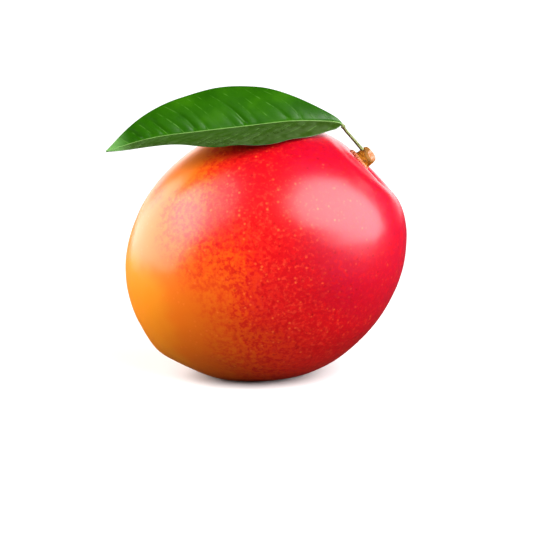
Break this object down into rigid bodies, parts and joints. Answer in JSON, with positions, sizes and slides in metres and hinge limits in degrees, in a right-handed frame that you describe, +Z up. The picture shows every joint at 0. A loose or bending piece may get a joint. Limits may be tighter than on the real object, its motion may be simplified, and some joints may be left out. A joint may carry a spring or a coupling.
{
  "type": "mango",
  "caption": "Ripe red-blushed mango with the woody stub of its stalk and a green leaf, resting on a small flat spot on its underside.",
  "frame": {"origin": "middle of the small flat spot on which the fruit rests", "axes": "+Z up; +X towards the stalk end; +Y through the thin way of the fruit, away from the side over which the leaf's lower half leans"},
  "size_m": [0.1176, 0.0889, 0.1168],
  "materials": {
    "waxy_skin": "smooth waxy fruit skin, crimson blush over golden orange",
    "cork": "rough dry cork",
    "stalk_bark": "dry ochre bark with a paler cut end",
    "leaf_stalk_skin": "dull olive-green stalk",
    "leaf_blade": "glossy dark green leaf with a pale midrib"
  },
  "bodies": {
    "root": {"fruit": "waxy_skin", "stalk_disc": "cork", "fruit_stalk": "stalk_bark", "leaf_stalk": "leaf_stalk_skin", "leaf": "leaf_blade"}
  },
  "joints": []
}
